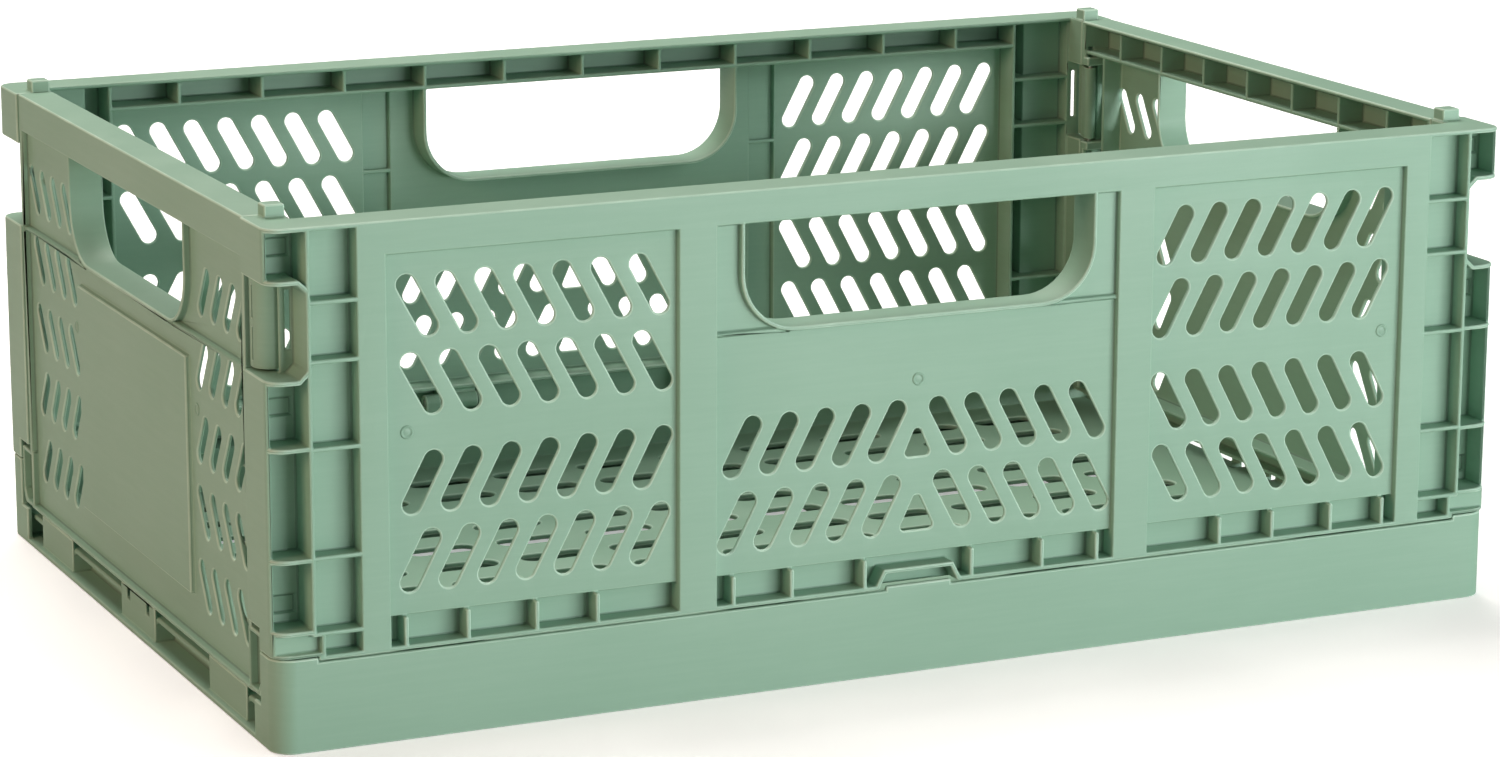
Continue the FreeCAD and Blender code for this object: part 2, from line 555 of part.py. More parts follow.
# ------------------------------------------------------------------ pins
for side, across in (("left", "-length / 2 + latch_axis_in"), ("right", "length / 2 - latch_axis_in")):
    for end, along in (("front", "-latch_axis_side"), ("back", "latch_axis_side")):
        finish(rod(f"latch_pin_{end}_{side}", "latch_pin", "notch_top - notch_low + 8",
                   (across, along, "notch_low - 4"), "z"), f"latch_pin_{end}_{side}")
for side, across in (("left", "-length / 2 + pivot_in"), ("right", "length / 2 - pivot_in")):
    for end, along in (("front", "-width / 2 + 12"), ("back", "width / 2 - 34.5")):
        finish(rod(f"end_pin_{end}_{side}", "pin", "22.5", (across, along, "pivot_up"), "y"),
               f"end_pin_{end}_{side}")
for wall_name, along in (("front", "-width / 2 + hinge_in"), ("back", "width / 2 - hinge_in")):
    for index, station in enumerate(HINGE_STATIONS, start=1):
        finish(rod(f"hinge_pin_{wall_name}_{index}", "pin", "2 * (knuckle_half + lug_wide + gap)",
                   (f"{station} - knuckle_half - lug_wide - gap", along, "hinge_up"), "x"),
               f"hinge_pin_{wall_name}_{index}")

# ------------------------------------------------------------------ base tray
FLOOR_SLOT_LONG = 34.0
FLOOR_SLOT_WIDE = 12.0
FLOOR_COLUMNS = 5
FLOOR_ROWS = 5
FLOOR_PITCH_X = 46.0
FLOOR_PITCH_Y = 30.0
TRAY_WEB_PITCH = 60.0
DOCK_EYE = 14.5


def floor_slots():
    """Rows of round-ended slots, all lengthwise."""
    slots = []
    for column in range(-FLOOR_COLUMNS, FLOOR_COLUMNS + 1):
        for line in range(-FLOOR_ROWS, FLOOR_ROWS + 1):
            slots.append(slot_outline(column * FLOOR_PITCH_X, line * FLOOR_PITCH_Y, 1,
                                      FLOOR_SLOT_LONG - FLOOR_SLOT_WIDE, 0, FLOOR_SLOT_WIDE))
    return prism("floor_slots", slots, "0", "floor_top + 1", "plan")


def corner_hollows():
    """Plan outlines of the hollows in the four corner blocks, rounded like the tray's corners."""
    ply, block_size = size["base_ply"], size["corner_block"]
    end, side = size["length"] / 2, size["width"] / 2
    hollows = []
    for across in (-1, 1):
        for along in (-1, 1):
            hollows.append(outline([
                (across * (end - block_size + ply), along * (side - ply), 0),
                (across * (end - ply), along * (side - ply), size["corner_round"] - ply),
                (across * (end - ply), along * (side - block_size + 4), 0),
                (across * (end - block_size + ply), along * (side - block_size + 4), 0)]))
    return hollows


def base_tray():
    half_long = "length / 2"
    half_wide = "width / 2"
    parts = [
        block("tray_floor", (f"-{half_long} + dock_face + 1.5", f"{half_long} - dock_face - 1.5"),
              (f"-{half_wide} + side_box - 1", f"{half_wide} - side_box + 1"),
              ("floor_top - floor_ply", "floor_top")),
    ]
    for sign, name in ((1, "back"), (-1, "front")):
        def span(near, far):
            """Two distances in from the long side, as a low and a high Y."""
            if sign > 0:
                return (f"{half_wide} - ({far})", f"{half_wide} - ({near})")
            return (f"-{half_wide} + {near}", f"-{half_wide} + {far}")
        whole = (f"-{half_long}", half_long)
        parts.append(block(f"tray_side_{name}", whole, span("0", "base_ply"), ("0", "tray_rim")))
        parts.append(block(f"tray_tab_{name}", (f"-{ARCH_TOP}", f"{ARCH_TOP}"), span("0", "base_ply"),
                           ("tray_rim - 1", "tray_corner")))
        parts.append(block(f"tray_shelf_{name}", whole, span("0", "side_box"), ("shelf - ply", "shelf")))
        parts.append(block(f"tray_inner_{name}", whole, span("side_box - base_ply", "side_box"),
                           ("0", "shelf")))
        for index in range(-4, 5):
            middle = index * TRAY_WEB_PITCH
            parts.append(block(f"tray_web_{name}_{index + 4}", (f"{middle} - ply / 2", f"{middle} + ply / 2"),
                               span("0", "side_box"), ("3", "shelf")))
        for index, station in enumerate(HINGE_STATIONS):
            for shift, side in (("knuckle_half + gap", "a"), ("-knuckle_half - gap - lug_wide", "b")):
                start = f"{station} + {shift}"
                lug = (start, f"{start} + lug_wide")
                parts.append(block(f"tray_lug_{name}_{index}{side}", lug,
                                   span("hinge_in - knuckle", "hinge_in + knuckle"),
                                   ("shelf - ply", "hinge_up")))
                axis = f"{half_wide} - hinge_in" if sign > 0 else f"-{half_wide} + hinge_in"
                parts.append(rod(f"tray_barrel_{name}_{index}{side}", "knuckle", "lug_wide",
                                 (start, axis, "hinge_up"), "x"))
        parts += both_sides(f"tray_corner_{name}", (f"{half_long} - corner_block", half_long),
                            span("0", "corner_block"), ("0", "tray_corner"))
        parts += both_sides(f"tray_lip_{name}", (f"{half_long} - dock_face", half_long),
                            span("corner_block - 1", "lip_reach"), ("0", "lip_top"))
    # end rims: a sole plate, three blocks with a thin upstand, and a back wall
    across = (f"-{half_wide} + corner_block - 1", f"{half_wide} - corner_block + 1")
    parts += both_sides("tray_sole", (f"{half_long} - side_box", half_long), across, ("0", "base_ply"))
    parts += both_sides("tray_end_back", (f"{half_long} - end_box", f"{half_long} - end_box + ply"), across,
                        ("0", "floor_top"))
    for index in (-1, 0, 1):
        middle = f"{index} * dock_pitch"
        wide = (f"{middle} - dock_half", f"{middle} + dock_half")
        parts += both_sides(f"tray_dock_{index + 1}", (f"{half_long} - end_box", f"{half_long} - dock_face"),
                            wide, ("0", "floor_top"))
        parts += both_sides(f"tray_upstand_{index + 1}",
                            (f"{half_long} - dock_face - 1.4", f"{half_long} - dock_face"), wide,
                            ("0", "lip_top + 0.4"))
    # ribs under the floor
    for index in range(-2, 3):
        middle = index * 2 * FLOOR_PITCH_Y + FLOOR_PITCH_Y / 2
        parts.append(block(f"floor_rib_{index + 2}", (f"-{half_long} + end_box", f"{half_long} - end_box"),
                           (f"{middle} - ply / 2", f"{middle} + ply / 2"), ("4", "floor_top - 1")))
    for index in range(-2, 2):
        middle = index * 3 * FLOOR_PITCH_X + 1.5 * FLOOR_PITCH_X
        parts.append(block(f"floor_cross_rib_{index + 2}", (f"{middle} - ply / 2", f"{middle} + ply / 2"),
                           (f"-{half_wide} + side_box - 1", f"{half_wide} - side_box + 1"),
                           ("4", "floor_top - 1")))
    solid = fuse("tray_solid", parts)
    holes = [floor_slots()]
    holes.append(prism("corner_hollows", corner_hollows(), "-1", "tray_corner - base_ply + 1", "plan"))
    for sign, name in ((1, "back"), (-1, "front")):
        socket = (f"-{half_wide} + nub_behind - nub_room", f"-{half_wide} + post_deep + nub_room")
        if sign > 0:
            socket = (f"{half_wide} - post_deep - nub_room", f"{half_wide} - nub_behind + nub_room")
        reach = (f"{half_long} - nub_far - nub_room", f"{half_long} - nub_near + nub_room")
        holes += both_sides(f"nub_socket_{name}", reach, socket, ("-1", "nub_tall + 1"))
        axis = f"{half_wide} - hinge_in" if sign > 0 else f"-{half_wide} + hinge_in"
        for index, station in enumerate(HINGE_STATIONS):
            holes.append(rod(f"tray_bore_{name}_{index}", "pin + running", "44",
                             (f"{station} - 22", axis, "hinge_up"), "x"))
        start = f"{half_wide} - 25" if sign > 0 else f"-{half_wide} + 11"
        for side, place in (("left", f"-{half_long} + pivot_in"), ("right", f"{half_long} - pivot_in")):
            holes.append(rod(f"corner_bore_{name}_{side}", "pin + running", "14",
                             (place, start, "pivot_up"), "y"))
    for shift, side in ((DOCK_EYE, "a"), (-DOCK_EYE, "b")):
        holes += both_sides(f"dock_eye_{side}", (f"{half_long} - end_box + 3", f"{half_long}"),
                            (f"{shift} - 2.5", f"{shift} + 2.5"), ("floor_top - 1.5", "lip_top - 0.5"))
    carved = cut("tray_carved", solid, fuse("tray_holes", holes))
    face, side, rounding = size["length"] / 2, size["width"] / 2, size["corner_round"]
    plan = outline([(-face, -side, rounding), (face, -side, rounding), (face, side, rounding),
                    (-face, side, rounding)])
    envelope = prism("tray_envelope", [plan], "-1", "tray_corner + 20", "plan")
    tray = doc.addObject("Part::MultiCommon", "base_tray")
    tray.Shapes = [carved, envelope]
    return tray


finish(base_tray(), "base_tray")

# ------------------------------------------------------------------ checks and export
doc.recompute()
for item in doc.Objects:
    if {"Invalid", "Error"} & set(item.State):
        raise RuntimeError(f"{item.Name} failed: {item.State}")
for item in finished:
    if item.Shape.isNull() or not item.Shape.isValid():
        raise RuntimeError(f"{item.Label} has no valid shape")

os.makedirs("parts", exist_ok=True)
for item in finished:
    item.Shape.exportStep(f"parts/{item.Label}.step")
    box = item.Shape.BoundBox
    print(f"{item.Label}: {len(item.Shape.Solids)} solid, {item.Shape.Volume / 1000:.1f} cm3, "
          f"x {box.XMin:.1f}..{box.XMax:.1f} y {box.YMin:.1f}..{box.YMax:.1f} z {box.ZMin:.1f}..{box.ZMax:.1f}")
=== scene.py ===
"""Looks of the collapsible storage crate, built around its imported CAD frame.

The mouldings, latches and pins come from the frame. This script rounds their edges, adds the small
moulding marks that the CAD leaves out, gives every surface its material, and sets the stage.
"""
import math

import bpy
import numpy as np
from bpy.props import FloatProperty, FloatVectorProperty, IntProperty, PointerProperty
from mathutils import Matrix, Vector


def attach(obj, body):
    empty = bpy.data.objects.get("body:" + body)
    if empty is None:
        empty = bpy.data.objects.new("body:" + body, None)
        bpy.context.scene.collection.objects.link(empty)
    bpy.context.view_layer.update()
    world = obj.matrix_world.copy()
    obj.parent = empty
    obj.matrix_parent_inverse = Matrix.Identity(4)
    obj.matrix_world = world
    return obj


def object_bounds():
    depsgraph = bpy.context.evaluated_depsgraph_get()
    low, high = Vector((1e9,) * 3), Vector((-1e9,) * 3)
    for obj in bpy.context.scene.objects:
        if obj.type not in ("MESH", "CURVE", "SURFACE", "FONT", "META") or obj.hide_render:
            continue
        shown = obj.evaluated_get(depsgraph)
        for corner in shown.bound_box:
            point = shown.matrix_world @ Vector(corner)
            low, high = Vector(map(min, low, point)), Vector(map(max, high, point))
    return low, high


bl_info = {
    "name": "Folding Crate Looks",
    "version": (1, 0, 0),
    "blender": (4, 5, 0),
    "location": "View3D > Sidebar > Crate",
    "description": "Finishes a folding storage crate: rounded edges, moulding marks, materials and stage",
    "category": "Object",
}

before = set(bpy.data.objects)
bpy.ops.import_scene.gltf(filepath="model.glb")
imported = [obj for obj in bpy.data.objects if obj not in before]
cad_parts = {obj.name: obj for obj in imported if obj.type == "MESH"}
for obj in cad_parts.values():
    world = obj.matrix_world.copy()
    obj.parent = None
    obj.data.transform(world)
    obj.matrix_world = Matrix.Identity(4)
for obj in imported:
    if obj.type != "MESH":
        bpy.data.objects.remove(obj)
CAD_BOX = [list(corner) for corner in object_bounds()]
LOW = np.array(CAD_BOX[0])
HIGH = np.array(CAD_BOX[1])
# the panels' set-back behind the outermost faces, and where the gate marks stand on them
PANEL_SET_BACK = 0.003
END_PANEL_SET_BACK = 0.0044
GATE_ACROSS = 0.239
GATE_UP = 0.133
END_GATE_ALONG = 0.0905
END_GATE_UP = 0.125
RING_STEPS = 32
# the profile of a gate mark: radius as a share of the mark's own, height as a share of the ring's stand
GATE_PROFILE = (
    (0.35, 0.45), (0.50, 0.10), (0.62, 0.10), (0.72, 1.0), (0.86, 1.0), (1.0, 0.0), (1.0, -1.0))

# how the edges are closed and rounded, in metres and degrees
SEAM_GAP = 0.00001
SHARP_ANGLE = 35.0
NORMAL_WEIGHT = 80

# how many times a metre each pattern of noise repeats, and how far the streaks are squeezed upwards
HIGHLIGHT_PATCHES = 55.0
SINK_PATCHES = 38.0
STREAKS = 26.0
STREAK_SQUEEZE = (1.0, 1.0, 14.0)
MOTTLE_PATCHES = 7.5
DUST_PATCHES = 24.0
TARNISH_PATCHES = 120.0
SCRATCHES = 2400.0
SCRATCH_STRETCH = (0.05, 1.0, 1.0)

# the plastic: its mottle, tool streaks, painted shade in creases, dust, texture and gloss
MOTTLE_SHADE = (0.93, 0.955, 0.94)
STREAK_COLOUR = (0.55, 0.74, 0.62, 1.0)
STREAK_STRENGTH = 0.05
# painted shade in creases: how strongly inward edges are darkened, and how dark they get as a share of the
# plastic colour
SHADED_CREASE_AMOUNT = 0.55
CREASE_SHADE = 0.35
DUST_COLOUR = (0.66, 0.68, 0.62, 1.0)
DUST_ROUGHNESS = 0.15
ROUGHNESS_SPREAD = 0.14
GRAIN_STRENGTH = 0.06
GRAIN_DEPTH = 0.0004
PLASTIC_IOR = 1.49
PLASTIC_SPECULAR = 0.42
# the bend, as Pointiness gives it, where the painted edge highlight and the painted crease shade start and
# where they are full
HIGHLIGHT_FROM, HIGHLIGHT_FULL = 0.50, 0.54
SHADED_CREASE_FULL, SHADED_CREASE_FROM = 0.44, 0.495

# the steel of the pins: bright and tarnished wire, and its scratches
STEEL_BRIGHT = (0.62, 0.62, 0.60, 1.0)
STEEL_TARNISHED = (0.40, 0.39, 0.37, 1.0)
STEEL_ROUGHNESS = 0.22
SCRATCH_ROUGHNESS = 0.25
SCRATCH_STRENGTH = 0.15
SCRATCH_DEPTH = 0.0001

# the lamps: name, place, width and height in metres, watts and colour
LAMPS = (
    ("top_lamp", (0.1, 1.5, 3.0), (2.2, 2.2), 108.0, (1.0, 0.95, 0.90)),
    ("right_lamp", (2.3, -2.2, 1.5), (1.2, 1.2), 15.0, (0.95, 1.0, 1.0)),
    ("front_lamp", (1.4, -2.8, 0.20), (2.2, 0.36), 64.0, (0.97, 0.99, 1.0)),
    ("warm_lamp", (-2.6, -0.5, 1.0), (1.2, 1.2), 27.0, (1.0, 0.60, 0.42)),
)
LAMP_TARGET = (0.0, 0.0, 0.1)
FLOOR_ROUGHNESS = 0.9
WHITE = (1.0, 1.0, 1.0, 1.0)

# the camera: its place, its heading from +Y towards +X, its dip and its roll in degrees
CAMERA_PLACE = (-0.8705, -1.8933, 0.5783)
CAMERA_HEADING = 24.947
CAMERA_DIP = 13.158
CAMERA_ROLL = 0.1855
SENSOR_WIDTH = 36.0
FARTHEST_SEEN = 200.0

LONG_WALLS = ("front_wall", "back_wall")
END_WALLS = ("left_end_wall", "right_end_wall")
LATCHES = ("latch_front_left", "latch_front_right", "latch_back_left", "latch_back_right")
PINS = tuple(name for name in sorted(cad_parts) if "_pin_" in name)


# ------------------------------------------------------------------ settings
class CRATE_PG_plastic(bpy.types.PropertyGroup):
    """Colour and finish of the moulded polypropylene."""
    colour: FloatVectorProperty(
        name="Plastic colour", description="Body colour of the moulded plastic",
        subtype="COLOR", size=3, min=0.0, max=1.0, default=(0.268, 0.450, 0.330))
    # painted highlight: the pale colour that outward rounded edges are painted towards
    edge_highlight_colour: FloatVectorProperty(
        name="Edge colour", description="Paler tone of the thin rounded edges",
        subtype="COLOR", size=3, min=0.0, max=1.0, default=(0.56, 0.76, 0.62))
    gloss: FloatProperty(
        name="Roughness", description="Roughness of the satin tool texture",
        subtype="FACTOR", min=0.0, max=1.0, default=0.46)
    grain: FloatProperty(
        name="Grain size", description="Size of the fine texture left by the mould",
        unit="LENGTH", min=0.0001, max=0.01, default=0.0009)


class CRATE_PG_edges(bpy.types.PropertyGroup):
    """Rounding of the moulded edges."""
    wall: FloatProperty(
        name="Wall edge", description="Width of the rounding on wall and tray edges",
        unit="LENGTH", min=0.0, max=0.002, default=0.0008)
    latch: FloatProperty(
        name="Latch edge", description="Width of the rounding on latch edges",
        unit="LENGTH", min=0.0, max=0.002, default=0.0004)
    pin: FloatProperty(
        name="Pin chamfer", description="Chamfer at the ends of the steel pins",
        unit="LENGTH", min=0.0, max=0.001, default=0.0003)
    # how strongly outward rounded edges are painted towards the pale highlight colour
    wear: FloatProperty(
        name="Edge wear", description="How far rounded edges go towards the edge colour",
        subtype="FACTOR", min=0.0, max=1.0, default=0.8)
    rounds: IntProperty(
        name="Segments", description="Facets across each rounded edge", min=1, max=4, default=2)


class CRATE_PG_marks(bpy.types.PropertyGroup):
    """Small marks that the mould leaves."""
    gate: FloatProperty(
        name="Gate mark", description="Diameter of a gate mark on the panels",
        unit="LENGTH", min=0.001, max=0.02, default=0.006)
    gate_height: FloatProperty(
        name="Gate stand", description="Height of the ring round a gate mark",
        unit="LENGTH", min=0.0001, max=0.001, default=0.0004)


class CRATE_PG_stage(bpy.types.PropertyGroup):
    """Floor, lights and camera."""
    floor: FloatVectorProperty(
        name="Floor colour", description="Colour of the floor",
        subtype="COLOR", size=3, min=0.0, max=1.0, default=(0.93, 0.93, 0.93))
    floor_bounce: FloatVectorProperty(
        name="Floor bounce", description="Colour of the floor in the light that it throws back on the crate",
        subtype="COLOR", size=3, min=0.0, max=1.0, default=(0.55, 0.55, 0.54))
    floor_lift: FloatProperty(
        name="Floor lift", description="Light added to the floor where the camera sees it, to keep it white",
        min=0.0, max=1.0, default=0.4)
    floor_half: FloatProperty(
        name="Floor reach", description="Half the width of the floor",
        unit="LENGTH", min=1.0, max=100.0, default=30.0)
    sky: FloatProperty(
        name="Surround", description="Brightness of the white surround", min=0.0, max=10.0, default=0.16)
    lens: FloatProperty(
        name="Lens", description="Focal length of the camera in millimetres",
        min=20.0, max=300.0, default=107.09)


def settings(name):
    return getattr(bpy.context.scene, "crate_" + name)


# ------------------------------------------------------------------ shader groups
def new_group(name, inputs, outputs):
    """An empty shader node group with named float, colour or vector sockets."""
    group = bpy.data.node_groups.new(name, "ShaderNodeTree")
    kinds = {"float": "NodeSocketFloat", "colour": "NodeSocketColor", "vector": "NodeSocketVector"}
    for label, kind, default in inputs:
        socket = group.interface.new_socket(label, in_out="INPUT", socket_type=kinds[kind])
        if default is not None:
            socket.default_value = default
    for label, kind in outputs:
        group.interface.new_socket(label, in_out="OUTPUT", socket_type=kinds[kind])
    return group, group.nodes.new("NodeGroupInput"), group.nodes.new("NodeGroupOutput")


def link(tree, start, end):
    tree.links.new(start, end)


def maths(tree, operation, first, second, clamp=False):
    """A maths node fed by sockets or plain numbers; returns its result socket."""
    node = tree.nodes.new("ShaderNodeMath")
    node.operation = operation
    node.use_clamp = clamp
    for socket, value in zip(node.inputs, (first, second)):
        if isinstance(value, (int, float)):
            socket.default_value = value
        else:
            link(tree, value, socket)
    return node.outputs[0]


def noise(tree, vector, scale, detail=2.0, roughness=0.5, stretch=None):
    """Noise on a vector socket; stretch multiplies the vector first. Returns the value socket."""
    if stretch is not None:
        mapping = tree.nodes.new("ShaderNodeMapping")
        mapping.inputs["Scale"].default_value = stretch
        link(tree, vector, mapping.inputs["Vector"])
        vector = mapping.outputs[0]
    node = tree.nodes.new("ShaderNodeTexNoise")
    node.inputs["Detail"].default_value = detail
    node.inputs["Roughness"].default_value = roughness
    if isinstance(scale, (int, float)):
        node.inputs["Scale"].default_value = scale
    else:
        link(tree, scale, node.inputs["Scale"])
    link(tree, vector, node.inputs["Vector"])
    return node.outputs["Fac"]


def blend_colour(tree, factor, first, second):
    """Mixes two colour sockets or plain colours by a factor socket."""
    node = tree.nodes.new("ShaderNodeMix")
    node.data_type = "RGBA"
    for index, value in ((0, factor), (6, first), (7, second)):
        if isinstance(value, (int, float, tuple)):
            node.inputs[index].default_value = value
        else:
            link(tree, value, node.inputs[index])
    return node.outputs[2]


def ramp(tree, value, low, high):
    """0 below low, 1 above high, straight between them."""
    node = tree.nodes.new("ShaderNodeMapRange")
    node.clamp = True
    node.inputs["From Min"].default_value = low
    node.inputs["From Max"].default_value = high
    link(tree, value, node.inputs["Value"])
    return node.outputs[0]


def edge_highlight_shade_group():
    """Masks for painted light on rounded edges: a pale highlight on outward ones, broken up by noise, and
    shade on inward ones.
    """
    group, start, end = new_group(
        "edge_highlight_shade", [("Vector", "vector", None), ("Break-up", "float", 0.35)],
        [("Painted highlight", "float"), ("Crease shade", "float")])
    bent = group.nodes.new("ShaderNodeNewGeometry").outputs["Pointiness"]
    patches = noise(group, start.outputs["Vector"], HIGHLIGHT_PATCHES, 3.0)
    gone = maths(group, "MULTIPLY", ramp(group, patches, 0.30, 0.62), start.outputs["Break-up"])
    kept = maths(group, "SUBTRACT", 1.0, gone)
    outward = ramp(group, bent, HIGHLIGHT_FROM, HIGHLIGHT_FULL)
    link(group, maths(group, "MULTIPLY", outward, kept, clamp=True), end.inputs["Painted highlight"])
    inward = maths(group, "SUBTRACT", 1.0, ramp(group, bent, SHADED_CREASE_FULL, SHADED_CREASE_FROM))
    link(group, inward, end.inputs["Crease shade"])
    return group


def mould_grain_group():
    """Height of the mould's fine texture and slow sink, and masks for mottle and for the tool's streaks."""
    group, start, end = new_group(
        "mould_grain", [("Vector", "vector", None), ("Grain scale", "float", 1000.0)],
        [("Height", "float"), ("Mottle", "float"), ("Streak", "float")])
    vector = start.outputs["Vector"]
    fine = noise(group, vector, start.outputs["Grain scale"], 3.0, 0.6)
    slow = noise(group, vector, SINK_PATCHES, 2.0, 0.5)
    streaks = noise(group, vector, STREAKS, 3.0, 0.6, stretch=STREAK_SQUEEZE)
    height = maths(group, "ADD", maths(group, "MULTIPLY", fine, 0.55), maths(group, "MULTIPLY", slow, 0.45))
    link(group, height, end.inputs["Height"])
    link(group, noise(group, vector, MOTTLE_PATCHES, 4.0, 0.55), end.inputs["Mottle"])
    link(group, streaks, end.inputs["Streak"])
    return group


def dust_group():
    """Mask for pale dust: broken patches on surfaces that face up."""
    group, start, end = new_group("dust", [("Vector", "vector", None)], [("Mask", "float")])
    geometry = group.nodes.new("ShaderNodeNewGeometry")
    split = group.nodes.new("ShaderNodeSeparateXYZ")
    link(group, geometry.outputs["Normal"], split.inputs[0])
    up = ramp(group, split.outputs["Z"], 0.35, 1.0)
    patch = ramp(group, noise(group, start.outputs["Vector"], DUST_PATCHES, 5.0, 0.65), 0.48, 0.74)
    link(group, maths(group, "MULTIPLY", up, patch, clamp=True), end.inputs["Mask"])
    return group


GROUPS = {}


def group_node(tree, name, builder):
    """Places a shared node group in a material, and builds it the first time."""
    if name not in GROUPS:
        GROUPS[name] = builder()
    node = tree.nodes.new("ShaderNodeGroup")
    node.node_tree = GROUPS[name]
    return node


def start_material(name):
    """A fresh node material; returns it, its tree, its shader and its Object coordinates."""
    material = bpy.data.materials.new(name)
    material.use_nodes = True
    tree = material.node_tree
    tree.nodes.clear()
    output = tree.nodes.new("ShaderNodeOutputMaterial")
    shader = tree.nodes.new("ShaderNodeBsdfPrincipled")
    link(tree, shader.outputs[0], output.inputs["Surface"])
    coordinates = tree.nodes.new("ShaderNodeTexCoord")
    return material, tree, shader, coordinates.outputs["Object"]


def add_relief(tree, height, strength, depth, shader):
    """Bumps a shader's normal by a height socket."""
    relief = tree.nodes.new("ShaderNodeBump")
    relief.inputs["Strength"].default_value = strength
    relief.inputs["Distance"].default_value = depth
    link(tree, height, relief.inputs["Height"])
    link(tree, relief.outputs["Normal"], shader.inputs["Normal"])


def moulded_plastic(name, tint=1.0, gloss=0.0, dust=0.05, painted_edge_light=0.0):
    """Matte moulded plastic: mottled colour, fine grain and a little dust.

    tint multiplies the colour, gloss is added to the roughness, dust is the dust's strength, and the last
    argument paints a pale highlight on outward edges and a shade in inward ones.
    """
    look = settings("plastic")
    material, tree, shader, place = start_material(name)
    grain = group_node(tree, "mould_grain", mould_grain_group)
    grain.inputs["Grain scale"].default_value = 1.0 / look.grain
    link(tree, place, grain.inputs["Vector"])
    powder = group_node(tree, "dust", dust_group)
    link(tree, place, powder.inputs["Vector"])
    base = tuple(value * tint for value in look.colour) + (1.0,)
    deep = tuple(value * tint * shade for value, shade in zip(look.colour, MOTTLE_SHADE)) + (1.0,)
    body = blend_colour(tree, ramp(tree, grain.outputs["Mottle"], 0.35, 0.68), base, deep)
    streak = maths(tree, "MULTIPLY", ramp(tree, grain.outputs["Streak"], 0.4, 0.75), STREAK_STRENGTH)
    tone = blend_colour(tree, streak, body, STREAK_COLOUR)
    # painted highlight on outward rounded edges, and painted shade darkening inward creases
    if painted_edge_light:
        edge = group_node(tree, "edge_highlight_shade", edge_highlight_shade_group)
        link(tree, place, edge.inputs["Vector"])
        highlight_tone = tuple(look.edge_highlight_colour) + (1.0,)
        crease_shade_tone = tuple(value * CREASE_SHADE for value in look.colour) + (1.0,)
        painted_edges = maths(tree, "MULTIPLY", edge.outputs["Painted highlight"], painted_edge_light)
        crease_shading = maths(tree, "MULTIPLY", edge.outputs["Crease shade"], SHADED_CREASE_AMOUNT)
        tone = blend_colour(tree, crease_shading, blend_colour(tree, painted_edges, tone, highlight_tone), crease_shade_tone)
    dusting = maths(tree, "MULTIPLY", powder.outputs["Mask"], dust)
    link(tree, blend_colour(tree, dusting, tone, DUST_COLOUR), shader.inputs["Base Color"])
    mottled = maths(tree, "MULTIPLY", grain.outputs["Mottle"], ROUGHNESS_SPREAD)
    rough = maths(tree, "ADD", mottled, look.gloss + gloss - ROUGHNESS_SPREAD / 2)
    dull = maths(tree, "MULTIPLY", powder.outputs["Mask"], DUST_ROUGHNESS)
    link(tree, maths(tree, "ADD", rough, dull, clamp=True), shader.inputs["Roughness"])
    add_relief(tree, grain.outputs["Height"], GRAIN_STRENGTH, GRAIN_DEPTH, shader)
    shader.inputs["IOR"].default_value = PLASTIC_IOR
    shader.inputs["Specular IOR Level"].default_value = PLASTIC_SPECULAR
    return material


def drawn_steel(name):
    """Plain drawn wire: fine lengthwise scratches and a little tarnish."""
    material, tree, shader, place = start_material(name)
    tarnish = noise(tree, place, TARNISH_PATCHES, 4.0, 0.6)
    scratch = noise(tree, place, SCRATCHES, 2.0, 0.5, stretch=SCRATCH_STRETCH)
    colour = blend_colour(tree, ramp(tree, tarnish, 0.40, 0.70), STEEL_BRIGHT, STEEL_TARNISHED)
    link(tree, colour, shader.inputs["Base Color"])
    scratched = maths(tree, "MULTIPLY", scratch, SCRATCH_ROUGHNESS)
    link(tree, maths(tree, "ADD", scratched, STEEL_ROUGHNESS), shader.inputs["Roughness"])
    add_relief(tree, scratch, SCRATCH_STRENGTH, SCRATCH_DEPTH, shader)
    shader.inputs["Metallic"].default_value = 1.0
    return material


# ------------------------------------------------------------------ mesh helpers
def put_material(piece, material):
    """Gives every slot of a piece the same material."""
    if not piece.material_slots:
        piece.data.materials.append(material)
    for slot in piece.material_slots:
        slot.material = material


def round_edges(piece, width, segments, slot=-1):
    """Closes the seams of a CAD node and rounds every edge sharper than SHARP_ANGLE.

    The rounded strips take the material in the given slot, or their neighbour's if it is -1.
    """
    weld = piece.modifiers.new("close_seams", "WELD")
    weld.merge_threshold = SEAM_GAP
    edge = piece.modifiers.new("round_edges", "BEVEL")
    edge.width = width
    edge.segments = segments
    edge.limit_method = "ANGLE"
    edge.angle_limit = math.radians(SHARP_ANGLE)
    edge.material = slot
    edge.use_clamp_overlap = False
    edge.loop_slide = False
    shading = piece.modifiers.new("even_shading", "WEIGHTED_NORMAL")
    shading.keep_sharp = False
    shading.weight = NORMAL_WEIGHT


def surface(name, points, faces, material, body):
    """A new piece from a point array and a face array, riding on a CAD body."""
    mesh = bpy.data.meshes.new(name)
    mesh.from_pydata(points.tolist(), [], faces.tolist())
    mesh.validate()
    mesh.update()
    mesh.shade_smooth()
    piece = bpy.data.objects.new(name, mesh)
    bpy.context.scene.collection.objects.link(piece)
    put_material(piece, material)
    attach(piece, body)
    return piece


